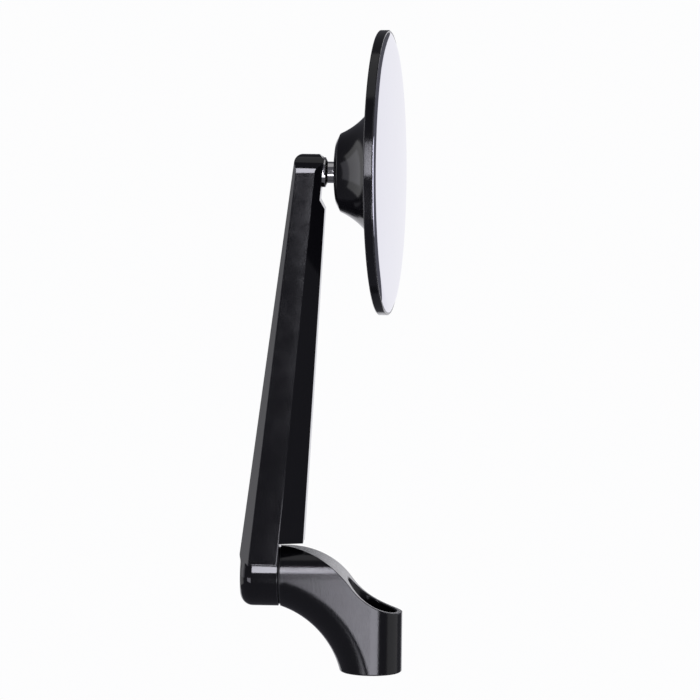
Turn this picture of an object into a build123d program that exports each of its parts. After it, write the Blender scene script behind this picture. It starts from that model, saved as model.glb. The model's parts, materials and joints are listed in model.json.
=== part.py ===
from build123d import *
import os
from math import acos, asin, cos, degrees, radians, sin, sqrt

# Bar-mounted bicycle mirror: base bracket, swivelling arm, ball joint and round convex mirror.
# Frame: +Z is up along the mounting bolt, the origin is the centre of the foot's bottom face,
# and the mirror faces +X. Millimetres.

os.makedirs("parts", exist_ok=True)

# ---------------------------------------------------------------- driving dimensions
# base bracket
foot_radius = 10.3
foot_rim_height = 20.4
foot_edge_chamfer = 0.3
bolt_hole_radius = 5.25
bolt_head_radius = 8.4
bolt_seat_height = 9.5
knuckle_radius = 10.3
knuckle_height = 32.1
bend_centre_x = -40.7
bend_centre_z = -7.6
underside_radius = 31.0
crown_radius = 30.0
crown_sweep = 53.8
rim_chamfer = 0.35

# pivot between bracket and arm
bracket_end_x = -30.8
arm_face_x = -31.25
running_gap = 0.05
pivot_shoulder_radius = 4.0
pivot_thread_radius = 3.0
pivot_thread_length = 14.0
pivot_head_radius = 5.4
pivot_head_height = 1.7
pivot_socket_flats = 4.0
pivot_socket_depth = 1.2
friction_washer_radius = 9.6
bush_radius = 5.2
bush_seat_x = -37.6
bush_flange_radius = 6.8
bush_flange_thickness = 0.8
washer_radius = 6.7
washer_thickness = 0.8
disc_spring_radius = 6.6
disc_spring_thickness = 0.45
disc_spring_rise = 0.27
end_bore_radius = 7.0
cap_edge_thickness = 0.45
cap_dome_height = 0.5
cap_skirt_thickness = 0.8
cap_skirt_depth = 1.0

# arm
arm_end_x = -44.4
arm_end_rounding = 4.3
arm_face_chamfer = 0.3
bolt_head_chamfer = 0.3
thread_tip_chamfer = 0.5
stud_end_chamfer = 0.4
lock_screw_gap = 0.1
seat_spring_clearance = 0.4
seat_spring_lip = 0.6
seat_spring_leaf = 0.35
crown_overlap = 0.1
crown_overrun = 1
crown_cut_height = 64.2
mouth_depth = 2
blade_root_radius = 9.2
arm_tip_radius = 6.15
arm_back_foot = (-44.5, 39.8)
arm_back_notch = (-43.5, 34.3)
arm_back_tip = (-27.06, 174.45)
arm_back_rounding = 2.7
arm_front_foot = (-23.15, 43.9)
arm_clearance_radius = 12.0
tip_flat_run_out = (-17.01, 156.3)
tip_flat_foot = (-18.7, 159.3)
tip_flat_top = (-17.44, 173.0)
tip_chamfer_end = (-19.1, 174.45)
front_bevel_tip = (-20.4, 168.75)
front_bevel_foot = (-31.4, 43.65)
front_bevel_angle = 20.0
back_bevel_tip = (-26.6, 170.0)
back_bevel_foot = (-40.55, 45.05)
back_bevel_angle = 45.0

# ball stud
stud_height = 168.35
stud_seat_x = -20.0
stud_shoulder_radius = 5.04
stud_shoulder_end_x = -16.95
stud_neck_radius = 3.6
stud_neck_x = -16.3
stud_thread_radius = 3.0
stud_thread_end_x = -24.4
stud_pocket_radius = 5.25
thread_clearance = 0.05
lock_screw_length = 3.1
lock_socket_flats = 3.0
ball_radius = 5.0
ball_x = -6.6

# head, distances along the head axis measured from the ball centre
head_turn = 4.6
head_nod = 0.75
liner_radius = 6.0
liner_rear_mouth = 60.0
liner_front_mouth = 30.0
seat_radius = 9.0
seat_back = -4.3
seat_mouth_radius = 5.3
cup_front = 6.6
spring_back = 6.65
spring_front = 7.75
ring_back = 7.8
ring_front = 9.5
ring_bore_radius = 3.2
hub_back = -6.5
hub_back_radius = 11.0
hub_corner = (13.2, -5.3)
hub_flare_radius = 23.8
hub_flare_end = (26.1, 7.2)
hub_mouth_radius = 6.0
hub_bore_radius = 9.05
hub_front = 7.8
hub_spigot_radius = 11.0
hub_spigot_front = 9.7
plate_radius = 47.5
plate_front = 10.9
plate_hole_radius = 11.05
plate_recess_radius = 46.65
plate_recess_floor = 8.9
plate_platform_radius = 24.0
plate_platform_floor = 9.85
plate_back_chamfer = 0.3
plate_front_chamfer = 0.25
glass_radius = 46.6
glass_back_crown = 10.45
glass_front_crown = 12.6
glass_curve_radius = 1000.0
glass_edge_front = 10.95
glass_bevel = 1.6
screw_circle_radius = 16.5
screw_count = 4
screw_head_radius = 2.75
screw_head_height = 1.3
screw_shank_radius = 1.45
screw_hole_radius = 1.5
screw_length = 6.5
screw_hole_depth = 5.0
screw_socket_flats = 2.0
screw_socket_depth = 1.1

# ---------------------------------------------------------------- shared datums
pivot_axis = Axis((0, 0, knuckle_height), (1, 0, 0))
stud_axis = Axis((0, 0, stud_height), (1, 0, 0))
ball_centre = Vector(ball_x, 0, stud_height)
head_direction = Vector(1, 0, 0).rotate(Axis.Y, -head_nod).rotate(Axis.Z, -head_turn)
head_side = Vector(0, 1, 0).rotate(Axis.Z, -head_turn)
head_axis = Axis(ball_centre, head_direction)
# half sections on the pivot and the stud: x along +X, y outwards from the axis
pivot_section = Plane((0, 0, knuckle_height), x_dir=(1, 0, 0), z_dir=(0, -1, 0))
stud_section = Plane((0, 0, stud_height), x_dir=(1, 0, 0), z_dir=(0, -1, 0))
# half sections of the head: x outwards from the head axis, y along it
head_section = Plane(ball_centre, x_dir=head_side, z_dir=head_side.cross(head_direction))


def finish(piece, label):
    """Name a finished piece and write it to its own file."""
    piece.part.label = label
    export_step(piece.part, f"parts/{label}.step")


def head_plane(distance):
    """A plane square to the head axis, at a distance from the ball centre."""
    return Plane(ball_centre + head_direction * distance, x_dir=head_side, z_dir=head_direction)


def across(flats):
    """Corner radius of a hexagon from its width across flats."""
    return flats / sqrt(3)


def on_circle(radius, angle):
    """Point on a circle around the section's origin, the angle measured from the y direction."""
    return (radius * sin(radians(angle)), radius * cos(radians(angle)))


# ---------------------------------------------------------------- base bracket
# One round-sided bar turns from the horizontal knuckle down into the upright foot.
bend_radius = underside_radius + foot_radius
bend_start = degrees(acos(-bend_centre_x / bend_radius))
bend_end = degrees(asin((knuckle_height - bend_centre_z) / bend_radius))
bend_overrun = 6

with BuildPart() as base_bracket:
    with BuildSketch(Plane.XY):
        Circle(foot_radius)
    extrude(amount=knuckle_height)
    with BuildSketch(Plane.YZ.offset(bracket_end_x)):
        with Locations((0, knuckle_height)):
            Circle(knuckle_radius)
    extrude(amount=-bracket_end_x)
    # flat flanks between the bend's centre line and the two cylinders
    with BuildSketch(Plane.XZ):
        with BuildLine():
            bend = CenterArc((bend_centre_x, bend_centre_z), bend_radius, bend_start, bend_end - bend_start)
            Polyline(bend @ 1, (0, knuckle_height), bend @ 0)
        make_face()
    extrude(amount=foot_radius, both=True)
    # round underside that follows the bend
    with BuildSketch(Plane.XY.offset(bend_centre_z)):
        with Locations((bend_centre_x + bend_radius, 0)):
            Circle(foot_radius)
            Rectangle(
                2 * foot_radius,
                2 * foot_radius,
                align=(Align.MIN, Align.CENTER),
                mode=Mode.SUBTRACT,
            )
    revolve(
        axis=Axis((bend_centre_x, 0, bend_centre_z), (0, -1, 0)),
        revolution_arc=bend_end + bend_overrun,
    )
    split(bisect_by=Plane.XY, keep=Keep.TOP)
    split(bisect_by=Plane.YZ.offset(bracket_end_x), keep=Keep.TOP)
    # the crown falls in an S-curve from the knuckle to the foot's rim
    with BuildSketch(Plane.XZ):
        with BuildLine():
            crown_centre = (arm_face_x, knuckle_height + knuckle_radius - crown_radius)
            crown = CenterArc(crown_centre, crown_radius, 90, -crown_sweep)
            valley = TangentArc(
                crown @ 1,
                (foot_radius + crown_overrun, foot_rim_height - crown_overlap),
                tangent=crown % 1,
            )
            Polyline(
                valley @ 1,
                (foot_radius + crown_overrun, crown_cut_height),
                (arm_face_x, crown_cut_height),
                crown @ 0,
            )
        make_face()
    extrude(amount=2 * foot_radius, both=True, mode=Mode.SUBTRACT)
    # bar bolt hole with its head seat, and the tapped hole for the pivot bolt
    with BuildSketch(Plane.XY):
        Circle(bolt_hole_radius)
    extrude(amount=knuckle_height, mode=Mode.SUBTRACT)
    with BuildSketch(Plane.XY.offset(bolt_seat_height)):
        Circle(bolt_head_radius)
    extrude(amount=knuckle_height, mode=Mode.SUBTRACT)
    with BuildSketch(Plane.YZ.offset(bracket_end_x)):
        with Locations((0, knuckle_height)):
            Circle(pivot_thread_radius)
    extrude(amount=pivot_thread_length + 1, mode=Mode.SUBTRACT)
    foot_edges = base_bracket.faces().sort_by(Axis.Z)[0].outer_wire().edges()
    chamfer(foot_edges, foot_edge_chamfer)
    # the mouth's edge runs round the head bore where it meets the crown
    head_bore = base_bracket.faces().filter_by(GeomType.CYLINDER).filter_by(
        lambda face: abs((face.radius or 0) - bolt_head_radius) < 0.01
    )
    mouth_edges = head_bore.edges().filter_by(lambda edge: edge.center().Z > foot_rim_height - mouth_depth)
    chamfer(mouth_edges, rim_chamfer)
finish(base_bracket, "base_bracket")

# ---------------------------------------------------------------- pivot bolt
# Shoulder bolt: thread in the bracket, shoulder through the arm, low hex-socket head.
shoulder_end_x = bush_seat_x - bush_flange_thickness - running_gap - washer_thickness
shoulder_end_x -= 2 * (disc_spring_thickness + disc_spring_rise)
bolt_head_end_x = shoulder_end_x - pivot_head_height
thread_tip_x = bracket_end_x + pivot_thread_length

with BuildPart() as pivot_bolt:
    with BuildSketch(pivot_section):
        with BuildLine():
            Polyline(
                (bolt_head_end_x, 0),
                (bolt_head_end_x, pivot_head_radius - bolt_head_chamfer),
                (bolt_head_end_x + bolt_head_chamfer, pivot_head_radius),
                (shoulder_end_x, pivot_head_radius),
                (shoulder_end_x, pivot_shoulder_radius),
                (bracket_end_x, pivot_shoulder_radius),
                (bracket_end_x, pivot_thread_radius - thread_clearance),
                (thread_tip_x - thread_tip_chamfer, pivot_thread_radius - thread_clearance),
                (thread_tip_x, pivot_thread_radius - thread_tip_chamfer),
                (thread_tip_x, 0),
                close=True,
            )
        make_face()
    revolve(axis=pivot_axis)
    with BuildSketch(Plane.YZ.offset(bolt_head_end_x)):
        with Locations((0, knuckle_height)):
            RegularPolygon(across(pivot_socket_flats), 6)
    extrude(amount=pivot_socket_depth, mode=Mode.SUBTRACT)
finish(pivot_bolt, "pivot_bolt")

# ---------------------------------------------------------------- friction washer
# Thin plastic disc that fills the split between bracket and arm.
with BuildPart() as friction_washer:
    with BuildSketch(Plane.YZ.offset(bracket_end_x)):
        with Locations((0, knuckle_height)):
            Circle(friction_washer_radius)
            Circle(pivot_shoulder_radius + running_gap, mode=Mode.SUBTRACT)
    extrude(amount=arm_face_x + running_gap - bracket_end_x)
finish(friction_washer, "friction_washer")

# ---------------------------------------------------------------- pivot washer
flange_end_x = bush_seat_x - bush_flange_thickness
washer_face_x = flange_end_x - running_gap

with BuildPart() as pivot_washer:
    with BuildSketch(Plane.YZ.offset(washer_face_x)):
        with Locations((0, knuckle_height)):
            Circle(washer_radius)
            Circle(pivot_shoulder_radius + running_gap, mode=Mode.SUBTRACT)
    extrude(amount=-washer_thickness)
finish(pivot_washer, "pivot_washer")

# ---------------------------------------------------------------- pivot disc springs
# Two cupped spring washers set rim to rim.
spring_face_x = washer_face_x - washer_thickness
spring_hole = pivot_shoulder_radius + 0.1


with BuildPart() as pivot_disc_springs:
    for inner_x, toward in ((spring_face_x, -1), (shoulder_end_x, 1)):
        rim_x = inner_x + toward * disc_spring_rise
        thickness = toward * disc_spring_thickness
        with BuildSketch(pivot_section):
            with BuildLine():
                Polyline(
                    (inner_x, spring_hole),
                    (rim_x, disc_spring_radius),
                    (rim_x + thickness, disc_spring_radius),
                    (inner_x + thickness, spring_hole),
                    close=True,
                )
            make_face()
        revolve(axis=pivot_axis)
finish(pivot_disc_springs, "pivot_disc_springs")

# ---------------------------------------------------------------- arm
# Tapering blade on a round knuckle. Its front view is the hull of the root and tip circles.
taper_sine = (blade_root_radius - arm_tip_radius) / (stud_height - knuckle_height)
taper_cosine = sqrt(1 - taper_sine**2)
blade_depth = 60


def half_width(height):
    """Distance of the blade's side face from its middle plane."""
    return (arm_tip_radius - (height - stud_height) * taper_sine) / taper_cosine


def bevel_plane(tip, foot, angle, side):
    """Plane through a line on one side face, turned inwards by an angle towards its free edge."""
    top = Vector(tip[0], side * half_width(tip[1]), tip[1])
    low = Vector(foot[0], side * half_width(foot[1]), foot[1])
    face_normal = Vector(0, side * taper_cosine, taper_sine)
    outward = face_normal.cross((top - low).normalized()) * side
    turn = radians(abs(angle))
    way = outward if angle > 0 else outward * -1
    return Plane(top, z_dir=face_normal * cos(turn) + way * sin(turn))


with BuildPart() as arm:
    with BuildSketch(Plane.YZ.offset(-blade_depth)):
        with Locations((0, knuckle_height)):
            Circle(blade_root_radius)
        with Locations((0, stud_height)):
            Circle(arm_tip_radius)
        make_hull()
    extrude(amount=blade_depth)
    with BuildSketch(Plane.XZ) as blade_profile:
        with BuildLine():
            Polyline(
                (arm_face_x, knuckle_height),
                (arm_face_x, arm_front_foot[1]),
                arm_front_foot,
                tip_flat_run_out,
                tip_flat_foot,
                tip_flat_top,
                tip_chamfer_end,
                arm_back_tip,
                arm_back_foot,
                arm_back_notch,
                (bush_seat_x, knuckle_height),
                close=True,
            )
        make_face()
        fillet(blade_profile.vertices().sort_by_distance((*arm_back_tip, 0))[0], arm_back_rounding)
    extrude(amount=2 * knuckle_radius, both=True, mode=Mode.INTERSECT)
    for side in (-1, 1):
        split(bisect_by=bevel_plane(front_bevel_tip, front_bevel_foot, front_bevel_angle, side),
              keep=Keep.BOTTOM)
        split(bisect_by=bevel_plane(back_bevel_tip, back_bevel_foot, -back_bevel_angle, side),
              keep=Keep.BOTTOM)
    # clearance over the bracket when the arm swivels
    with BuildSketch(Plane.YZ.offset(arm_face_x)):
        with Locations((0, knuckle_height)):
            Circle(arm_clearance_radius)
    extrude(amount=blade_depth, mode=Mode.SUBTRACT)
    # knuckle with a rounded outer end
    with BuildSketch(pivot_section) as knuckle_profile:
        with BuildLine():
            Polyline(
                (arm_face_x, 0),
                (arm_face_x, knuckle_radius - arm_face_chamfer),
                (arm_face_x - arm_face_chamfer, knuckle_radius),
                (arm_end_x, knuckle_radius),
                (arm_end_x, 0),
                close=True,
            )
        make_face()
        fillet(
            knuckle_profile.vertices().sort_by_distance((arm_end_x, knuckle_radius, 0))[0],
            arm_end_rounding,
        )
    revolve(axis=pivot_axis)
    # bush bore, and the wider end bore for the washers and bolt head
    with BuildSketch(Plane.YZ.offset(arm_face_x)):
        with Locations((0, knuckle_height)):
            Circle(bush_radius)
    extrude(amount=-blade_depth, mode=Mode.SUBTRACT)
    with BuildSketch(Plane.YZ.offset(bush_seat_x)):
        with Locations((0, knuckle_height)):
            Circle(end_bore_radius)
    extrude(amount=-blade_depth, mode=Mode.SUBTRACT)
    # tapped hole and pocket for the ball stud
    with BuildSketch(Plane.YZ.offset(-blade_depth)):
        with Locations((0, stud_height)):
            Circle(stud_thread_radius)
    extrude(amount=blade_depth, mode=Mode.SUBTRACT)
    with BuildSketch(Plane.YZ.offset(stud_seat_x)):
        with Locations((0, stud_height)):
            Circle(stud_pocket_radius)
    extrude(amount=blade_depth, mode=Mode.SUBTRACT)
finish(arm, "arm")

# ---------------------------------------------------------------- pivot bush
# Flanged plastic bearing pressed into the arm.
with BuildPart() as pivot_bush:
    with BuildSketch(pivot_section):
        bush_bore = pivot_shoulder_radius + running_gap
        with BuildLine():
            Polyline(
                (arm_face_x, bush_bore),
                (arm_face_x, bush_radius),
                (bush_seat_x, bush_radius),
                (bush_seat_x, bush_flange_radius),
                (flange_end_x, bush_flange_radius),
                (flange_end_x, bush_bore),
                close=True,
            )
        make_face()
    revolve(axis=pivot_axis)
finish(pivot_bush, "pivot_bush")

# ---------------------------------------------------------------- pivot cap
# Low-domed push-in cover with a short skirt.
cap_inner_x = bolt_head_end_x - 0.1
cap_edge_x = cap_inner_x - cap_edge_thickness
cap_crown_x = cap_edge_x - cap_dome_height

with BuildPart() as pivot_cap:
    with BuildSketch(pivot_section):
        with BuildLine():
            Polyline(
                (cap_crown_x, 0),
                (cap_inner_x, 0),
                (cap_inner_x, end_bore_radius - cap_skirt_thickness),
                (cap_inner_x + cap_skirt_depth, end_bore_radius - cap_skirt_thickness),
                (cap_inner_x + cap_skirt_depth, end_bore_radius),
                (cap_edge_x, end_bore_radius),
            )
            half_dome = (end_bore_radius**2 + cap_dome_height**2) / (2 * cap_dome_height)
            RadiusArc((cap_edge_x, end_bore_radius), (cap_crown_x, 0), -half_dome)
        make_face()
    revolve(axis=pivot_axis)
finish(pivot_cap, "pivot_cap")

# ---------------------------------------------------------------- ball stud
neck_end_x = ball_x - sqrt(ball_radius**2 - stud_neck_radius**2)

with BuildPart() as ball_stud:
    with BuildSketch(stud_section):
        shank = stud_thread_radius - thread_clearance
        with BuildLine():
            Polyline(
                (ball_x + ball_radius, 0),
                (stud_thread_end_x, 0),
                (stud_thread_end_x, shank - stud_end_chamfer),
                (stud_thread_end_x + stud_end_chamfer, shank),
                (stud_seat_x, shank),
                (stud_seat_x, stud_shoulder_radius),
                (stud_shoulder_end_x, stud_shoulder_radius),
                (stud_neck_x, stud_neck_radius),
                (neck_end_x, stud_neck_radius),
            )
            ThreePointArc(
                (neck_end_x, stud_neck_radius),
                (ball_x, ball_radius),
                (ball_x + ball_radius, 0),
            )
        make_face()
    revolve(axis=stud_axis)
finish(ball_stud, "ball_stud")

# ---------------------------------------------------------------- stud lock screw
# Headless screw behind the stud, hex socket at the arm's back.
with BuildPart() as stud_lock_screw:
    lock_front_x = stud_thread_end_x - lock_screw_gap
    with BuildSketch(Plane.YZ.offset(lock_front_x)):
        with Locations((0, stud_height)):
            Circle(stud_thread_radius - thread_clearance)
    extrude(amount=-lock_screw_length)
    with BuildSketch(Plane.YZ.offset(lock_front_x - lock_screw_length)):
        with Locations((0, stud_height)):
            RegularPolygon(across(lock_socket_flats), 6)
    extrude(amount=lock_screw_length / 2, mode=Mode.SUBTRACT)
finish(stud_lock_screw, "stud_lock_screw")

# ---------------------------------------------------------------- ball liner
# Thin plastic shell round the ball, open for the neck.
with BuildPart() as ball_liner:
    with BuildSketch(head_section):
        liner_bore = ball_radius + running_gap
        rear_angle = 180 - liner_rear_mouth
        middle_angle = (rear_angle + liner_front_mouth) / 2
        with BuildLine():
            Line(on_circle(liner_bore, liner_front_mouth), on_circle(liner_radius, liner_front_mouth))
            ThreePointArc(
                on_circle(liner_radius, liner_front_mouth),
                on_circle(liner_radius, middle_angle),
                on_circle(liner_radius, rear_angle),
            )
            Line(on_circle(liner_radius, rear_angle), on_circle(liner_bore, rear_angle))
            ThreePointArc(
                on_circle(liner_bore, rear_angle),
                on_circle(liner_bore, middle_angle),
                on_circle(liner_bore, liner_front_mouth),
            )
        make_face()
    revolve(axis=head_axis)
finish(ball_liner, "ball_liner")

# ---------------------------------------------------------------- rear seat and front cup
# The two halves of the socket that clamp the liner.
socket_radius = liner_radius + running_gap
seat_joint = 0.2

with BuildPart() as rear_seat:
    with BuildSketch(head_plane(seat_back)):
        Circle(seat_radius)
        Circle(seat_mouth_radius, mode=Mode.SUBTRACT)
    extrude(amount=-seat_back - seat_joint)
    with Locations(head_plane(0)):
        Sphere(socket_radius, mode=Mode.SUBTRACT)
finish(rear_seat, "rear_seat")

with BuildPart() as front_cup:
    with BuildSketch(head_plane(seat_joint)):
        Circle(seat_radius)
    extrude(amount=cup_front - seat_joint)
    with Locations(head_plane(0)):
        Sphere(socket_radius, mode=Mode.SUBTRACT)
finish(front_cup, "front_cup")

# ---------------------------------------------------------------- seat disc springs
# Pair of cupped washers between the front cup and the adjusting ring.
with BuildPart() as seat_disc_springs:
    spring_rim = seat_radius - seat_spring_clearance
    spring_eye = ring_bore_radius + seat_spring_lip
    spring_middle = (spring_back + spring_front) / 2
    for face, toward in ((spring_back, 1), (spring_front, -1)):
        with BuildSketch(head_section):
            with BuildLine():
                Polyline(
                    (spring_eye, face),
                    (spring_rim, spring_middle - toward * seat_spring_leaf),
                    (spring_rim, spring_middle),
                    (spring_eye, face + toward * seat_spring_leaf),
                    close=True,
                )
            make_face()
        revolve(axis=head_axis)
finish(seat_disc_springs, "seat_disc_springs")

# ---------------------------------------------------------------- adjusting ring
# Screws into the hub from the front and sets the ball's grip; hex drive in the middle.
with BuildPart() as adjusting_ring:
    with BuildSketch(head_plane(ring_back)):
        Circle(seat_radius)
        RegularPolygon(ring_bore_radius, 6, mode=Mode.SUBTRACT)
    extrude(amount=ring_front - ring_back)
finish(adjusting_ring, "adjusting_ring")

# ---------------------------------------------------------------- hub
# Bell behind the mirror: short cylinder, concave flare, spigot through the plate.
with BuildPart() as hub:
    with BuildSketch(head_section):
        with BuildLine():
            Polyline(
                hub_flare_end,
                (hub_flare_end[0], hub_front),
                (hub_spigot_radius, hub_front),
                (hub_spigot_radius, hub_spigot_front),
                (hub_bore_radius, hub_spigot_front),
                (hub_bore_radius, seat_back - running_gap),
                (hub_mouth_radius, seat_back - running_gap),
                (hub_mouth_radius, hub_back),
                (hub_back_radius, hub_back),
                hub_corner,
            )
            RadiusArc(hub_corner, hub_flare_end, hub_flare_radius)
        make_face()
    revolve(axis=head_axis)
    with BuildSketch(head_plane(hub_front)):
        with PolarLocations(screw_circle_radius, screw_count):
            Circle(screw_hole_radius)
    extrude(amount=-screw_hole_depth, mode=Mode.SUBTRACT)
finish(hub, "hub")

# ---------------------------------------------------------------- mirror plate
# Turned disc: rim round the glass, raised platform over the hub, countersunk screw holes.
with BuildPart() as mirror_plate:
    with BuildSketch(head_section):
        with BuildLine():
            Polyline(
                (plate_hole_radius, hub_front),
                (plate_radius - plate_back_chamfer, hub_front),
                (plate_radius, hub_front + plate_back_chamfer),
                (plate_radius, plate_front - plate_front_chamfer),
                (plate_radius - plate_front_chamfer, plate_front),
                (plate_recess_radius, plate_front),
                (plate_recess_radius, plate_recess_floor),
                (plate_platform_radius, plate_recess_floor),
                (plate_platform_radius, plate_platform_floor),
                (plate_hole_radius, plate_platform_floor),
                close=True,
            )
        make_face()
    revolve(axis=head_axis)
    with Locations(head_plane(plate_platform_floor)):
        with PolarLocations(screw_circle_radius, screw_count):
            Cone(
                screw_hole_radius,
                screw_head_radius + thread_clearance,
                screw_head_height,
                align=(Align.CENTER, Align.CENTER, Align.MAX),
                mode=Mode.SUBTRACT,
            )
    with BuildSketch(head_plane(hub_front)):
        with PolarLocations(screw_circle_radius, screw_count):
            Circle(screw_hole_radius)
    extrude(amount=plate_platform_floor - hub_front, mode=Mode.SUBTRACT)
finish(mirror_plate, "mirror_plate")

# ---------------------------------------------------------------- plate screws
with BuildPart() as plate_screws:
    with Locations(head_plane(plate_platform_floor)):
        with PolarLocations(screw_circle_radius, screw_count):
            Cone(
                screw_shank_radius,
                screw_head_radius,
                screw_head_height,
                align=(Align.CENTER, Align.CENTER, Align.MAX),
            )
    with BuildSketch(head_plane(plate_platform_floor - screw_head_height)):
        with PolarLocations(screw_circle_radius, screw_count):
            Circle(screw_shank_radius)
    extrude(amount=-(screw_length - screw_head_height))
    with BuildSketch(head_plane(plate_platform_floor)):
        with PolarLocations(screw_circle_radius, screw_count):
            RegularPolygon(across(screw_socket_flats), 6)
    extrude(amount=-screw_socket_depth, mode=Mode.SUBTRACT)
finish(plate_screws, "plate_screws")


def crown_height(crown, curve_radius, radius):
    """Height of a convex face at a distance from the head axis."""
    return crown - (curve_radius - sqrt(curve_radius**2 - radius**2))


# ---------------------------------------------------------------- adhesive pad
# Foam tape ring between plate and glass; it steps down outside the platform.
pad_radius = plate_recess_radius - 0.65
pad_edge = crown_height(glass_back_crown, glass_curve_radius, pad_radius)
pad_inner = crown_height(glass_back_crown, glass_curve_radius, plate_hole_radius)

with BuildPart() as adhesive_pad:
    with BuildSketch(head_section):
        with BuildLine():
            Polyline(
                (pad_radius, pad_edge),
                (pad_radius, plate_recess_floor),
                (plate_platform_radius, plate_recess_floor),
                (plate_platform_radius, plate_platform_floor),
                (plate_hole_radius, plate_platform_floor),
                (plate_hole_radius, pad_inner),
            )
            RadiusArc((plate_hole_radius, pad_inner), (pad_radius, pad_edge), glass_curve_radius)
        make_face()
    revolve(axis=head_axis)
finish(adhesive_pad, "adhesive_pad")

# ---------------------------------------------------------------- mirror glass
# Convex disc of even thickness with a ground bevel round the front edge.
bevel_radius = glass_radius - glass_bevel
front_curve_radius = glass_curve_radius + glass_front_crown - glass_back_crown
bevel_front = crown_height(glass_front_crown, front_curve_radius, bevel_radius)
glass_edge_back = crown_height(glass_back_crown, glass_curve_radius, glass_radius)

with BuildPart() as mirror_glass:
    with BuildSketch(head_section):
        with BuildLine():
            RadiusArc((0, glass_back_crown), (glass_radius, glass_edge_back), glass_curve_radius)
            Polyline(
                (glass_radius, glass_edge_back),
                (glass_radius, glass_edge_front),
                (bevel_radius, bevel_front),
            )
            RadiusArc((bevel_radius, bevel_front), (0, glass_front_crown), -front_curve_radius)
            Line((0, glass_front_crown), (0, glass_back_crown))
        make_face()
    revolve(axis=head_axis)
finish(mirror_glass, "mirror_glass")
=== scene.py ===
import json
import math

import bpy
from mathutils import Matrix, Vector


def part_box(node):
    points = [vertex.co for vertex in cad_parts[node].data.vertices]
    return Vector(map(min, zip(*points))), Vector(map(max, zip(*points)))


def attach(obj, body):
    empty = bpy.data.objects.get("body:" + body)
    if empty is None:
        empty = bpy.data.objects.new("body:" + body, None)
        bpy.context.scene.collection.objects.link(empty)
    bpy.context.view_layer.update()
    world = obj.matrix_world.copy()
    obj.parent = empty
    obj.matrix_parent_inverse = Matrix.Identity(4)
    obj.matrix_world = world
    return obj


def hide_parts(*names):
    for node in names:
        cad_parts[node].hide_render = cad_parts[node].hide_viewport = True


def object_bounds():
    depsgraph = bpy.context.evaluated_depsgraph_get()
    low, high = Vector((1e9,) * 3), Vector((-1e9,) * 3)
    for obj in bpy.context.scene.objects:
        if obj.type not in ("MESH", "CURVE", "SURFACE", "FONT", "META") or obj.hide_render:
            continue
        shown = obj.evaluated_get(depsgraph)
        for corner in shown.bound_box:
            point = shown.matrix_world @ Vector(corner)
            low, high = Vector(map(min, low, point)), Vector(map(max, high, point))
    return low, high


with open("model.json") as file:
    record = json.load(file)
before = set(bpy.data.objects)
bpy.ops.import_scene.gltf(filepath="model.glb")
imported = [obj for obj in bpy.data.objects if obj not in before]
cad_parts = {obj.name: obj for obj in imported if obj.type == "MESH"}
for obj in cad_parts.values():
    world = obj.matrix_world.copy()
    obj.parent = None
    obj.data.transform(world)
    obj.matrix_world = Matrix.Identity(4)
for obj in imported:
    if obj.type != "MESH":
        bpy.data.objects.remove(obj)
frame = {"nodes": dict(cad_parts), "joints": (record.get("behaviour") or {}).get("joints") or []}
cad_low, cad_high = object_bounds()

scene = bpy.context.scene
mm = 0.001


# ---------------------------------------------------------------- camera
# A long lens a little above the mirror's middle, looking along +Y and slightly down, with a
# small roll. It stands on the side the mirror faces, so the glass shows as a thin crescent.
aim_offset = Vector((8.31, 11.32, -0.23)) * mm
aim = (cad_low + cad_high) / 2 + aim_offset
swing, drop, roll = math.radians(2.6), math.radians(5.8), math.radians(0.6)
distance = 1.352
sight = Vector((
    -math.sin(swing) * math.cos(drop),
    math.cos(swing) * math.cos(drop),
    -math.sin(drop),
))
level = sight.cross(Vector((0, 0, 1))).normalized()
overhead = level.cross(sight)
camera_right = level * math.cos(roll) + overhead * math.sin(roll)
camera_up = overhead * math.cos(roll) - level * math.sin(roll)
camera_turn = Matrix((camera_right, camera_up, -sight)).transposed()
camera_data = bpy.data.cameras.new("camera")
camera_data.sensor_width = 36
camera_data.lens = 205.7
camera_data.clip_start = 0.05
camera_data.clip_end = 80
camera = bpy.data.objects.new("camera", camera_data)
camera.matrix_world = Matrix.Translation(aim - sight * distance) @ camera_turn.to_4x4()
scene.collection.objects.link(camera)
scene.camera = camera
scene.view_settings.view_transform = "Standard"


# ---------------------------------------------------------------- studio
# A plain white floor that runs on into a white surround. Reflections see a dim grey room
# instead, so the black metal stays black except where it meets a lamp.
studio_white = (0.98, 0.98, 0.985, 1)
room_grey = (0.09, 0.09, 0.105, 1)
world = bpy.data.worlds.new("studio")
scene.world = world
world.use_nodes = True
room = world.node_tree
room.nodes.clear()
room_out = room.nodes.new("ShaderNodeOutputWorld")
room_mix = room.nodes.new("ShaderNodeMixShader")
room_path = room.nodes.new("ShaderNodeLightPath")
room_dim = room.nodes.new("ShaderNodeBackground")
room_white = room.nodes.new("ShaderNodeBackground")
room_dim.inputs["Color"].default_value = room_grey
room_white.inputs["Color"].default_value = studio_white
room.links.new(room_path.outputs["Is Camera Ray"], room_mix.inputs[0])
room.links.new(room_dim.outputs[0], room_mix.inputs[1])
room.links.new(room_white.outputs[0], room_mix.inputs[2])
room.links.new(room_mix.outputs[0], room_out.inputs["Surface"])

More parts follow.
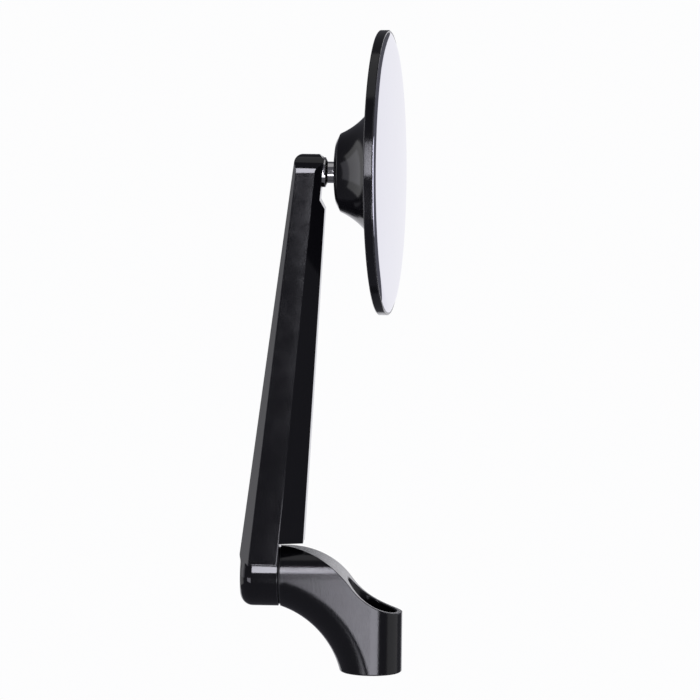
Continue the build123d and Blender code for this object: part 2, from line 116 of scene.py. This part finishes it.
floor_half = 30.0
floor_drop = 25 * mm  # the mirror's edge dips below the foot when the arm swings right over
floor_mesh = bpy.data.meshes.new("floor")
floor_mesh.from_pydata(
    [
        (-floor_half, -floor_half, 0),
        (floor_half, -floor_half, 0),
        (floor_half, floor_half, 0),
        (-floor_half, floor_half, 0),
    ],
    [],
    [(0, 1, 2, 3)],
)
floor = bpy.data.objects.new("floor", floor_mesh)
floor.location.z = cad_low.z - floor_drop
floor.visible_glossy = False
floor.visible_shadow = False
floor_paper = bpy.data.materials.new("floor_paper")
floor_paper.use_nodes = True
paper = floor_paper.node_tree.nodes["Principled BSDF"]
paper.inputs["Base Color"].default_value = (0, 0, 0, 1)
paper.inputs["Specular IOR Level"].default_value = 0
paper.inputs["Emission Color"].default_value = studio_white
paper.inputs["Emission Strength"].default_value = 1
floor_mesh.materials.append(floor_paper)
scene.collection.objects.link(floor)


def lamp(name, low, high, target, radiance, tint=(1, 1, 1)):
    """Soft flat lamp spanning two corners; its strength is the brightness it shows in a mirror."""
    low, high = Vector(low), Vector(high)
    place = (low + high) / 2
    facing = (Vector(target) - place).to_track_quat("-Z", "Y")
    across = facing @ Vector((1, 0, 0))
    upward = facing @ Vector((0, 1, 0))
    data = bpy.data.lights.new(name, "AREA")
    data.shape = "RECTANGLE"
    data.size = abs((high - low).dot(across))
    data.size_y = abs((high - low).dot(upward))
    data.energy = radiance * math.pi * data.size * data.size_y
    data.color = tint
    obj = bpy.data.objects.new(name, data)
    obj.location = place
    obj.rotation_mode = "QUATERNION"
    obj.rotation_quaternion = facing
    obj.visible_camera = False
    scene.collection.objects.link(obj)


lilac, pale_lilac = (0.91, 0.90, 1.0), (0.97, 0.965, 1.0)

# a bright wall beyond the object
lamp("rear_wall", (-1.8, 1.9, -0.9), (0.95, 1.9, 0.32), (-0.425, 0, -0.29), 0.85, pale_lilac)

# cards between the camera and the object, for the highlights on the bracket and the arm
lamp("low_card_left", (-0.5, -0.5, -0.16), (-0.16, -0.5, 0.0), (-0.33, 0, -0.08), 2.0, lilac)
lamp("low_card_right", (-0.05, -0.5, -0.16), (0.24, -0.5, -0.014), (0.095, 0, -0.087), 4.2, lilac)
lamp("high_card", (-0.094, -0.5, 0.178), (-0.022, -0.5, 0.42), (-0.058, 0, 0.299), 9.5, lilac)
lamp("flank_strip", (-0.044, -0.5, -0.014), (-0.006, -0.5, 0.16), (-0.025, 0, 0.073), 4.5, lilac)
# the rest of the room: cards and dim walls at the sides and overhead
lamp("side_card", (-1.2, -0.4, -0.08), (-1.2, 0.5, 0.6), (-0.2, 0.05, 0.26), 0.5, lilac)
lamp("front_wall", (2.6, -1.3, -0.9), (2.6, 1.3, 1.5), (0, 0, 0.3), 0.3)
lamp("back_wall", (-2.6, -0.2, -0.9), (-2.6, 1.8, 1.5), (0, 0.8, 0.3), 0.6)
lamp("top_wall", (-1.0, -1.0, 2.4), (1.0, 1.0, 2.4), (0, 0, 0), 0.3)
lamp("edge_card", (1.2, 0.62, -0.15), (1.2, 1.0, 0.27), (0.2, 0.81, 0.06), 1.1, lilac)


# ---------------------------------------------------------------- base bracket
# A bar machined from aluminium that bends from the level knuckle into the upright foot.
# It is blasted to a fine grain, its edges are broken, and it is anodised black.
def new_finish(name):
    """New material, with its tree, its shader and the object's own coordinates."""
    material = bpy.data.materials.new(name)
    material.use_nodes = True
    tree = material.node_tree
    place = tree.nodes.new("ShaderNodeTexCoord").outputs["Object"]
    return material, tree, tree.nodes["Principled BSDF"], place


def noise(tree, place, scale, detail=2):
    """Cloudy pattern on the given coordinates."""
    pattern = tree.nodes.new("ShaderNodeTexNoise")
    pattern.inputs["Scale"].default_value = scale
    pattern.inputs["Detail"].default_value = detail
    tree.links.new(place, pattern.inputs["Vector"])
    return pattern.outputs["Fac"]


def colour_between(tree, shader, amount, first, second):
    """Base colour that runs from one colour to another."""
    tone = tree.nodes.new("ShaderNodeMix")
    tone.data_type = "RGBA"
    tone.inputs["A"].default_value = (*first, 1)
    tone.inputs["B"].default_value = (*second, 1)
    tree.links.new(amount, tone.inputs["Factor"])
    tree.links.new(tone.outputs["Result"], shader.inputs["Base Color"])


def gloss_between(tree, shader, amount, low, high, span=(0, 1)):
    """Roughness that runs from low to high while the amount runs over the span."""
    gloss = tree.nodes.new("ShaderNodeMapRange")
    gloss.inputs["From Min"].default_value = span[0]
    gloss.inputs["From Max"].default_value = span[1]
    gloss.inputs["To Min"].default_value = low
    gloss.inputs["To Max"].default_value = high
    tree.links.new(amount, gloss.inputs["Value"])
    tree.links.new(gloss.outputs[0], shader.inputs["Roughness"])


def relief(tree, shader, height, depth, strength, over=None):
    """Fine relief on the surface, laid over softened edges if they are given."""
    bump = tree.nodes.new("ShaderNodeBump")
    bump.inputs["Strength"].default_value = strength
    bump.inputs["Distance"].default_value = depth
    tree.links.new(height, bump.inputs["Height"])
    if over is not None:
        tree.links.new(over, bump.inputs["Normal"])
    tree.links.new(bump.outputs[0], shader.inputs["Normal"])


def lathe_rings(tree, place, centre, direction):
    """Coordinates that change only outwards from an axis and along it, as turning marks do."""
    turn = tree.nodes.new("ShaderNodeMapping")
    turn.vector_type = "TEXTURE"
    turn.inputs["Location"].default_value = centre
    turn.inputs["Rotation"].default_value = direction.to_track_quat("Z", "Y").to_euler()
    parts = tree.nodes.new("ShaderNodeSeparateXYZ")
    flat = tree.nodes.new("ShaderNodeCombineXYZ")
    reach = tree.nodes.new("ShaderNodeVectorMath")
    reach.operation = "LENGTH"
    rings = tree.nodes.new("ShaderNodeCombineXYZ")
    tree.links.new(place, turn.inputs["Vector"])
    tree.links.new(turn.outputs[0], parts.inputs[0])
    tree.links.new(parts.outputs["X"], flat.inputs["X"])
    tree.links.new(parts.outputs["Y"], flat.inputs["Y"])
    tree.links.new(flat.outputs[0], reach.inputs[0])
    tree.links.new(reach.outputs["Value"], rings.inputs["X"])
    tree.links.new(parts.outputs["Z"], rings.inputs["Y"])
    return rings.outputs[0]


def edge_highlight_mask(tree, soft_edge):
    """How strongly an edge gets its painted highlight: where its softened normal leaves the face's
    own.
    """
    face = tree.nodes.new("ShaderNodeNewGeometry")
    agree = tree.nodes.new("ShaderNodeVectorMath")
    agree.operation = "DOT_PRODUCT"
    highlight_share = tree.nodes.new("ShaderNodeMapRange")
    highlight_share.inputs["From Min"].default_value = 0.999
    highlight_share.inputs["From Max"].default_value = 0.93
    tree.links.new(soft_edge, agree.inputs[0])
    tree.links.new(face.outputs["Normal"], agree.inputs[1])
    tree.links.new(agree.outputs["Value"], highlight_share.inputs["Value"])
    return highlight_share.outputs[0]


def black_anodised(name, sheen=0.13, grain_size=0.35 * mm, grain_depth=0.012 * mm,
                   turned_about=None):
    """Black anodising over blasted or turned aluminium, with a painted highlight lightening its
    edges.
    """
    edge_radius = 0.4 * mm
    # the first colour is the anodising's own dye; the second is a painted highlight for the edges
    dye, edge_highlight_colour = (0.0030, 0.0029, 0.0040), (0.05, 0.05, 0.058)
    material, tree, shader, place = new_finish(name)
    shader.inputs["Specular IOR Level"].default_value = 0.75
    grain_place = lathe_rings(tree, place, *turned_about) if turned_about else place
    grain = noise(tree, grain_place, scale=1 / grain_size, detail=3)
    cloud = noise(tree, place, scale=160, detail=4)

    bevel = tree.nodes.new("ShaderNodeBevel")
    bevel.samples = 6
    bevel.inputs["Radius"].default_value = edge_radius
    soft_edge = bevel.outputs[0]
    relief(tree, shader, grain, grain_depth, strength=0.6, over=soft_edge)

    # a lighter base colour along the edges, broken up by the cloud, is a painted highlight
    edge_highlight = tree.nodes.new("ShaderNodeMath")
    edge_highlight.operation = "MULTIPLY"
    tree.links.new(edge_highlight_mask(tree, soft_edge), edge_highlight.inputs[0])
    tree.links.new(cloud, edge_highlight.inputs[1])
    colour_between(tree, shader, edge_highlight.outputs[0], dye, edge_highlight_colour)
    gloss_between(tree, shader, cloud, sheen - 0.015, sheen + 0.02, span=(0.3, 0.7))
    return material


nodes = frame["nodes"]


def dress(node, material):
    """Gives a CAD node its finish."""
    nodes[node].data.materials.clear()
    nodes[node].data.materials.append(material)


dress("base_bracket", black_anodised("blasted_black_anodising", grain_depth=0.035 * mm))


# ---------------------------------------------------------------- pivot fittings on the bracket
# A stainless shoulder bolt with a plain washer and two cupped spring washers gives the arm its
# grip. A thin black plastic disc keeps the two anodised faces apart.
def bare_metal(name, colour, sheen, scratch_depth=0.004 * mm):
    """Plain or polished metal with fine scratches and slightly uneven gloss."""
    material, tree, shader, place = new_finish(name)
    shader.inputs["Metallic"].default_value = 1
    smear = noise(tree, place, scale=420, detail=4)
    scratches = noise(tree, place, scale=3000)
    smeared_colour = [c * 0.86 for c in colour]
    colour_between(tree, shader, smear, smeared_colour, colour)
    gloss_between(tree, shader, smear, sheen * 0.7, sheen * 1.3)
    relief(tree, shader, scratches, scratch_depth, strength=0.4)
    return material


def moulded(name, colour, sheen, grain_size=0.25 * mm, grain_depth=0.01 * mm):
    """Moulded or cut plastic: even colour with a slight cloud, fine grain."""
    material, tree, shader, place = new_finish(name)
    shader.inputs["Specular IOR Level"].default_value = 0.45
    cloud = noise(tree, place, scale=240)
    grain = noise(tree, place, scale=1 / grain_size)
    clouded_colour = [c * 0.8 for c in colour]
    colour_between(tree, shader, cloud, clouded_colour, colour)
    gloss_between(tree, shader, grain, sheen - 0.06, sheen + 0.06)
    relief(tree, shader, grain, grain_depth, strength=0.5)
    return material


stainless = bare_metal("plain_stainless", (0.58, 0.57, 0.56), 0.28)
spring_steel = bare_metal("oiled_spring_steel", (0.30, 0.28, 0.26), 0.35)
black_acetal = moulded("black_acetal", (0.016, 0.016, 0.018), 0.42)
dress("pivot_bolt", stainless)
dress("pivot_washer", stainless)
dress("pivot_disc_springs", spring_steel)
dress("friction_washer", black_acetal)


# ---------------------------------------------------------------- arm
# A tapering blade milled from aluminium, anodised with the bracket but finished smoother.
# A white flanged bush is pressed into its knuckle.
smooth_black = black_anodised("smooth_black_anodising", sheen=0.075, grain_size=0.5 * mm,
                              grain_depth=0.005 * mm)
dress("arm", smooth_black)
dress("pivot_bush", moulded("white_acetal", (0.72, 0.71, 0.67), 0.38))


# ---------------------------------------------------------------- pivot cap
# Push-in black cover over the pivot bolt, moulded with a low dome and a soft outer edge.
# A Geometry Nodes tree spins its section round, as it does the stud, hub, plate and glass.
corner_steps = 4
def rounded(outline):
    """Points of a section whose corners, given as (radius, height, rounding), are rounded off."""
    points = []
    count = len(outline)
    for i, (r, v, rounding) in enumerate(outline):
        corner = Vector((r, v))
        if not rounding:
            points.append(corner)
            continue
        back = (Vector(outline[i - 1][:2]) - corner).normalized()
        ahead = (Vector(outline[(i + 1) % count][:2]) - corner).normalized()
        half = math.acos(max(-1, min(1, back.dot(ahead)))) / 2
        centre = corner + (back + ahead).normalized() * rounding / math.sin(half)
        reach = rounding / math.tan(half)
        first = corner + back * reach - centre
        last = corner + ahead * reach - centre
        sweep = first.angle_signed(last)
        for step in range(corner_steps + 1):
            turn = Matrix.Rotation(-sweep * step / corner_steps, 2)
            points.append(centre + turn @ first)
    return points


def maker_tree(name, inputs):
    """Empty Geometry Nodes tree with its own inputs and those that every made piece has."""
    tree = bpy.data.node_groups.new(name, "GeometryNodeTree")
    tree.is_modifier = True
    shared_inputs = {"Place": "Vector", "Turn": "Rotation", "Finish": "Material"}
    for label, kind in {**inputs, **shared_inputs}.items():
        tree.interface.new_socket(label, in_out="INPUT", socket_type="NodeSocket" + kind)
    tree.interface.new_socket("Geometry", in_out="OUTPUT", socket_type="NodeSocketGeometry")
    return tree


def place_and_finish(tree, given, geometry):
    """Moves the made shape to its place, makes it real mesh and gives it its material."""
    new, link = tree.nodes.new, tree.links.new
    carry = new("GeometryNodeTransform")
    link(geometry, carry.inputs["Geometry"])
    link(given.outputs["Place"], carry.inputs["Translation"])
    link(given.outputs["Turn"], carry.inputs["Rotation"])
    realize = new("GeometryNodeRealizeInstances")
    link(carry.outputs[0], realize.inputs[0])
    finish = new("GeometryNodeSetMaterial")
    link(realize.outputs[0], finish.inputs["Geometry"])
    link(given.outputs["Finish"], finish.inputs["Material"])
    link(finish.outputs[0], new("NodeGroupOutput").inputs[0])


def turned_tree():
    """Geometry Nodes tree that spins a section, held as a row of points, round its own axis."""
    seam_gap = 0.0005 * mm
    tree = maker_tree("turned_piece", {
        "Section": "Object",
        "Section points": "Int",
        "Segments": "Int",
    })
    new, link = tree.nodes.new, tree.links.new
    given = new("NodeGroupInput")

    def maths(operation, *values):
        node = new("ShaderNodeMath")
        node.operation = operation
        for socket, value in zip(node.inputs, values):
            if isinstance(value, (int, float)):
                socket.default_value = value
            else:
                link(value, socket)
        return node.outputs[0]

    section = new("GeometryNodeObjectInfo")
    link(given.outputs["Section"], section.inputs["Object"])
    rows = given.outputs["Section points"]
    columns = maths("ADD", given.outputs["Segments"], 1)
    grid = new("GeometryNodeMeshGrid")
    link(rows, grid.inputs["Vertices X"])
    link(columns, grid.inputs["Vertices Y"])
    index = new("GeometryNodeInputIndex").outputs[0]
    row = maths("FLOOR", maths("DIVIDE", maths("ADD", index, 0.5), columns))
    column = maths("SUBTRACT", index, maths("MULTIPLY", row, columns))
    angle = maths("DIVIDE", maths("MULTIPLY", column, 2 * math.pi), given.outputs["Segments"])
    where = new("GeometryNodeInputPosition")
    sample = new("GeometryNodeSampleIndex")
    sample.data_type = "FLOAT_VECTOR"
    link(section.outputs["Geometry"], sample.inputs["Geometry"])
    link(where.outputs[0], sample.inputs["Value"])
    link(row, sample.inputs["Index"])
    split = new("ShaderNodeSeparateXYZ")
    link(sample.outputs["Value"], split.inputs[0])
    join = new("ShaderNodeCombineXYZ")
    link(maths("MULTIPLY", split.outputs["X"], maths("COSINE", angle)), join.inputs["X"])
    link(maths("MULTIPLY", split.outputs["X"], maths("SINE", angle)), join.inputs["Y"])
    link(split.outputs["Y"], join.inputs["Z"])
    spin = new("GeometryNodeSetPosition")
    link(grid.outputs["Mesh"], spin.inputs["Geometry"])
    link(join.outputs[0], spin.inputs["Position"])
    close = new("GeometryNodeMergeByDistance")
    close.inputs["Distance"].default_value = seam_gap
    link(spin.outputs[0], close.inputs["Geometry"])
    place_and_finish(tree, given, close.outputs[0])
    return tree


turned = turned_tree()
sharp_from = math.radians(28)


def run_tree(name, tree, values, body, slot, *replaced):
    """Runs a Geometry Nodes tree with named values and keeps its result as a plain piece."""
    carrier = bpy.data.objects.new(name + "_maker", bpy.data.meshes.new(name + "_maker"))
    scene.collection.objects.link(carrier)
    modifier = carrier.modifiers.new("make", "NODES")
    modifier.node_group = tree
    for item in tree.interface.items_tree:
        if item.name in values:
            modifier[item.identifier] = values[item.name]
    bpy.context.view_layer.update()
    depsgraph = bpy.context.evaluated_depsgraph_get()
    mesh = bpy.data.meshes.new_from_object(carrier.evaluated_get(depsgraph))
    carrier.modifiers.clear()
    bpy.data.objects.remove(carrier)
    mesh.name = name
    mesh.shade_smooth()
    mesh.set_sharp_from_angle(angle=sharp_from)
    piece = bpy.data.objects.new(name, mesh)
    scene.collection.objects.link(piece)
    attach(piece, body)
    if replaced:
        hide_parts(*replaced)
    return piece


def turned_piece(name, outline, centre, direction, segments, finish, body, slot, *replaced):
    """Spins a closed or axis-to-axis outline, in millimetres, about an axis of the frame."""
    points = rounded(outline)
    if points[0].x > 0 or points[-1].x > 0:
        points.append(points[0])
    mesh = bpy.data.meshes.new(name + "_section")
    mesh.from_pydata([(p.x * mm, p.y * mm, 0) for p in points], [], [])
    section = bpy.data.objects.new(name + "_section", mesh)
    scene.collection.objects.link(section)
    values = {
        "Section": section,
        "Section points": len(points),
        "Segments": segments,
        "Place": centre,
        "Turn": direction.to_track_quat("Z", "Y").to_euler(),
        "Finish": finish,
    }
    piece = run_tree(name, turned, values, body, slot, *replaced)
    bpy.data.objects.remove(section)
    return piece


cap_low, cap_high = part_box("pivot_cap")
cap_radius = (cap_high.z - cap_low.z) / 2 / mm
cap_centre = Vector((cap_high.x, 0, (cap_low.z + cap_high.z) / 2))
cap_depth = (cap_high.x - cap_low.x) / mm
cap_wall, cap_hollow, cap_edge_rounding = 0.8, 1.0, 0.25
cap_edge_drop, crown_width, crown_fall, crown_steps = 0.5, 0.94, 0.9, 5
cap_outline = [
    (0, cap_hollow, 0),
    (cap_radius - cap_wall, cap_hollow, 0),
    (cap_radius - cap_wall, 0, 0),
    (cap_radius, 0, 0),
    (cap_radius, cap_depth - cap_edge_drop, cap_edge_rounding),
]
for step in range(crown_steps + 1):
    outward = 1 - step / crown_steps
    crown_height = cap_depth - cap_edge_drop * outward ** 2 * crown_fall
    cap_outline.append((cap_radius * outward * crown_width, crown_height, 0))
black_plastic = moulded("black_moulded_plastic", (0.012, 0.012, 0.013), 0.36)
turned_piece("pivot_cover", cap_outline, cap_centre, Vector((-1, 0, 0)), 72, black_plastic,
             "swivel_arm", "black_plastic", "pivot_cap")


# ---------------------------------------------------------------- ball stud and lock screw
# Turned stainless stud with a polished ball, screwed into the arm's tip from the front.
# A black headless screw locks it from behind.
stud_low, stud_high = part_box("ball_stud")
stud_axis = Vector((1, 0, 0))
ball_radius, neck_radius, shoulder_radius, shank_radius = 5.0, 3.6, 5.04, 2.95
shank_end, shoulder_back, shoulder_front, neck_end = -17.8, -13.4, -10.35, -9.7
shank_chamfer, ball_steps = 0.4, 24
ball_x = stud_high.x / mm - ball_radius
ball_centre = Vector((ball_x, 0, (stud_low.z + stud_high.z) / 2 / mm)) * mm
neck_half = math.asin(neck_radius / ball_radius)
stud_outline = [
    (0, shank_end, 0),
    (shank_radius - shank_chamfer, shank_end, 0),
    (shank_radius, shank_end + shank_chamfer, 0),
    (shank_radius, shoulder_back, 0),
    (shoulder_radius, shoulder_back, 0.15),
    (shoulder_radius, shoulder_front, 0.25),
    (neck_radius, neck_end, 0.2),
]
for step in range(ball_steps + 1):
    angle = neck_half + (math.pi - neck_half) * step / ball_steps
    stud_outline.append((ball_radius * math.sin(angle), -ball_radius * math.cos(angle), 0))
stud_outline[-1] = (0, ball_radius, 0)
polished_steel = bare_metal("polished_stainless", (0.82, 0.81, 0.80), 0.10,
                            scratch_depth=0.002 * mm)
turned_piece("turned_ball_stud", stud_outline, ball_centre, stud_axis, 96, polished_steel,
             "swivel_arm", "polished_stainless", "ball_stud")
dress("stud_lock_screw", bare_metal("black_oxide_steel", (0.035, 0.034, 0.033), 0.4))


# ---------------------------------------------------------------- ball socket
# A thin white liner wraps the ball; black rear seat and front cup clamp it inside the hub.
dress("ball_liner", moulded("white_liner", (0.70, 0.69, 0.66), 0.32))
dress("rear_seat", black_acetal)
dress("front_cup", black_acetal)


# ---------------------------------------------------------------- hub
# Black anodised aluminium bell turned on a lathe: short drum, hollow flare, flat front that
# the plate is screwed to.
head_joint = next(joint for joint in frame["joints"] if joint["name"] == "head_roll")
head_axis = Vector(head_joint["axis"]).normalized()
head_centre = Vector(head_joint["pos_m"])


def arc(start, end, rise, steps):
    """Points of a round stretch that stands off the straight line by a rise, ends left out."""
    a, b = Vector(start), Vector(end)
    half = (b - a) / 2
    left = Vector((-half.y, half.x)).normalized()
    radius = (half.length_squared + rise * rise) / (2 * rise)
    centre = (a + b) / 2 + left * (rise - radius)
    spread = math.asin(half.length / abs(radius)) * math.copysign(1, rise)
    points = []
    for step in range(1, steps):
        angle = spread * (1 - 2 * step / steps)
        along = half.normalized() * radius * math.sin(angle)
        point = centre + left * radius * math.cos(angle) - along
        points.append((point.x, point.y, 0))
    return points


hub_radius, hub_front, hub_rim_back, hub_edge_rounding = 26.1, 7.8, 7.2, 0.15
spigot_radius, spigot_front = 11.0, 9.7
socket_radius, socket_floor = 9.05, -4.35
mouth_radius, hub_back, mouth_rounding = 6.0, -6.5, 0.3
drum_radius, drum_back, drum_back_radius, drum_rounding = 13.2, -5.3, 11.0, 0.35
flare_rise, flare_steps = 1.75, 24
hub_outline = [
    (hub_radius, hub_front, hub_edge_rounding),
    (spigot_radius, hub_front, 0),
    (spigot_radius, spigot_front, 0),
    (socket_radius, spigot_front, 0),
    (socket_radius, socket_floor, 0),
    (mouth_radius, socket_floor, 0),
    (mouth_radius, hub_back, mouth_rounding),
    (drum_back_radius, hub_back, mouth_rounding),
    (drum_radius, drum_back, drum_rounding),
    *arc((drum_radius, drum_back), (hub_radius, hub_rim_back), flare_rise, flare_steps),
    (hub_radius, hub_rim_back, 0),
]
turned_black = black_anodised("turned_black_anodising", sheen=0.12, grain_size=0.12 * mm,
                              grain_depth=0.004 * mm, turned_about=(head_centre, head_axis))
turned_piece("turned_hub", hub_outline, head_centre, head_axis, 144, turned_black,
             "head", "black_anodised_hub", "hub")


# ---------------------------------------------------------------- spring washers and adjusting ring
# Two cupped washers and a threaded ring with a hex drive, in the hub's bore, set the grip.
# The washers are oiled spring steel, and the ring is bare machined aluminium.
dress("seat_disc_springs", spring_steel)
dress("adjusting_ring", bare_metal("machined_aluminium", (0.66, 0.66, 0.68), 0.3))


# ---------------------------------------------------------------- mirror plate
# Thin black disc turned from sheet: a rim round the glass, a raised platform over the hub.
# Its bore fits over the hub's spigot, and it is anodised with the hub.
plate_radius, plate_bore, plate_back_chamfer = 47.5, 11.05, 0.3
rim_inner_radius, rim_front, rim_chamfer = 46.65, 10.9, 0.25
plate_floor, platform_radius, platform_front = 8.9, 24.0, 9.85
plate_outline = [
    (plate_bore, hub_front, 0),
    (plate_radius - plate_back_chamfer, hub_front, 0),
    (plate_radius, hub_front + plate_back_chamfer, 0),
    (plate_radius, rim_front - rim_chamfer, 0),
    (plate_radius - rim_chamfer, rim_front, 0),
    (rim_inner_radius, rim_front, 0),
    (rim_inner_radius, plate_floor, 0),
    (platform_radius, plate_floor, 0),
    (platform_radius, platform_front, 0),
    (plate_bore, platform_front, 0),
]
turned_piece("turned_plate", plate_outline, head_centre, head_axis, 256, turned_black,
             "head", "black_anodised_plate", "mirror_plate")


# ---------------------------------------------------------------- plate screws
# Four countersunk stainless screws hold the plate to the hub, on one circle round the socket.
# One threaded screw with a round socket is made, and a Geometry Nodes tree sets its copies.
def screws_tree():
    """Geometry Nodes tree that sets a screw at even steps round a circle."""
    tree = maker_tree("screws_on_a_circle", {
        "Screw": "Object",
        "Count": "Int",
        "Circle radius": "Float",
    })
    new, link = tree.nodes.new, tree.links.new
    given = new("NodeGroupInput")
    ring = new("GeometryNodeMeshCircle")
    link(given.outputs["Count"], ring.inputs["Vertices"])
    link(given.outputs["Circle radius"], ring.inputs["Radius"])
    screw = new("GeometryNodeObjectInfo")
    link(given.outputs["Screw"], screw.inputs["Object"])
    copies = new("GeometryNodeInstanceOnPoints")
    link(ring.outputs[0], copies.inputs["Points"])
    link(screw.outputs["Geometry"], copies.inputs["Instance"])
    place_and_finish(tree, given, copies.outputs[0])
    return tree


screw_count, screw_circle_radius = 4, 16.5
screw_head_radius, screw_shank_radius, screw_socket_radius = 2.75, 1.45, 1.15
screw_head_height, screw_length, screw_socket_depth = 1.3, 6.5, 1.1
thread_pitch, thread_depth = 0.5, 0.2
screw_points = [
    (0.0, -screw_socket_depth),
    (screw_socket_radius, -screw_socket_depth),
    (screw_socket_radius, 0.0),
    (screw_head_radius, 0.0),
    (screw_shank_radius, -screw_head_height),
]
thread_turns = int((screw_length - screw_head_height) / thread_pitch)
for ridge in range(thread_turns):
    top = -screw_head_height - ridge * thread_pitch
    screw_points.append((screw_shank_radius, top - thread_pitch / 4))
    screw_points.append((screw_shank_radius - thread_depth, top - thread_pitch * 3 / 4))
screw_points.append((0.0, -screw_length))
screw_sides = 24
side_angles = [2 * math.pi * s / screw_sides for s in range(screw_sides)]
screw_corners = [
    (r * mm * math.cos(angle), r * mm * math.sin(angle), v * mm)
    for r, v in screw_points
    for angle in side_angles
]
screw_faces = [
    (k * screw_sides + s, k * screw_sides + (s + 1) % screw_sides,
     (k + 1) * screw_sides + (s + 1) % screw_sides, (k + 1) * screw_sides + s)
    for k in range(len(screw_points) - 1)
    for s in range(screw_sides)
]
screw_mesh = bpy.data.meshes.new("screw_pattern")
screw_mesh.from_pydata(screw_corners, [], screw_faces)
screw_pattern = bpy.data.objects.new("screw_pattern", screw_mesh)
scene.collection.objects.link(screw_pattern)
screw_values = {
    "Screw": screw_pattern,
    "Count": screw_count,
    "Circle radius": screw_circle_radius * mm,
    "Place": head_centre + head_axis * platform_front * mm,
    "Turn": head_axis.to_track_quat("Z", "Y").to_euler(),
    "Finish": stainless,
}
run_tree("countersunk_screws", screws_tree(), screw_values, "head", "stainless", "plate_screws")
bpy.data.objects.remove(screw_pattern)


# ---------------------------------------------------------------- adhesive pad
# A ring of black foam tape, cut from sheet, that sticks the back of the glass to the plate.
# Its open cells give it a dull, coarse face.
foam_tape = moulded("foam_tape", (0.02, 0.02, 0.021), 0.85, grain_size=0.3 * mm,
                    grain_depth=0.05 * mm)
dress("adhesive_pad", foam_tape)


# ---------------------------------------------------------------- glass
# Slightly domed mirror glass, silvered behind, with a bright polished bevel round its front.
# It sits in the plate's rim and is held only by the tape.
def silvered_glass(name):
    """Silvering seen through glass: a clean mirror with a faint lilac cast."""
    material, tree, shader, place = new_finish(name)
    shader.inputs["Metallic"].default_value = 1
    shader.inputs["Coat Weight"].default_value = 0.5
    shader.inputs["Coat Roughness"].default_value = 0.02
    haze = noise(tree, place, scale=90, detail=5)
    colour_between(tree, shader, haze, (0.71, 0.705, 0.785), (0.74, 0.735, 0.815))
    gloss_between(tree, shader, haze, 0.01, 0.05)
    return material


def polished_bevel(name):
    """Ground bevel polished bright, with the silvering behind it and a trace of the grinding."""
    material, tree, shader, place = new_finish(name)
    shader.inputs["Metallic"].default_value = 1
    shader.inputs["Roughness"].default_value = 0.08
    grain = noise(tree, place, scale=4000)
    colour_between(tree, shader, grain, (0.86, 0.86, 0.89), (0.95, 0.95, 0.96))
    relief(tree, shader, grain, 0.004 * mm, strength=0.3)
    return material


glass_radius, dome_radius, dome_rings = 46.6, 1000.0, 24
back_crown, front_crown, edge_front, bevel_width = 10.45, 12.6, 10.95, 1.6
front_radius = glass_radius - bevel_width
bevel_margin = 0.05


def dome(r, crown):
    """Point of the glass at a radius, on a face whose middle stands at the crown height."""
    return (r, crown - (dome_radius - math.sqrt(dome_radius**2 - r**2)), 0)


back_radii = [glass_radius * k / dome_rings for k in range(dome_rings + 1)]
front_radii = [front_radius * (1 - k / dome_rings) for k in range(dome_rings + 1)]
glass_outline = [
    *[dome(r, back_crown) for r in back_radii],
    (glass_radius, edge_front, 0),
    *[dome(r, front_crown) for r in front_radii],
]
glass = turned_piece("domed_glass", glass_outline, head_centre, head_axis, 256,
                     silvered_glass("silvered_glass"), "head", "mirror", "mirror_glass")
glass.data.materials.append(polished_bevel("ground_glass_edge"))
for face in glass.data.polygons:
    reach = face.center - head_centre
    along = reach.dot(head_axis)
    if (reach - head_axis * along).length > (front_radius + bevel_margin) * mm:
        face.material_index = 1
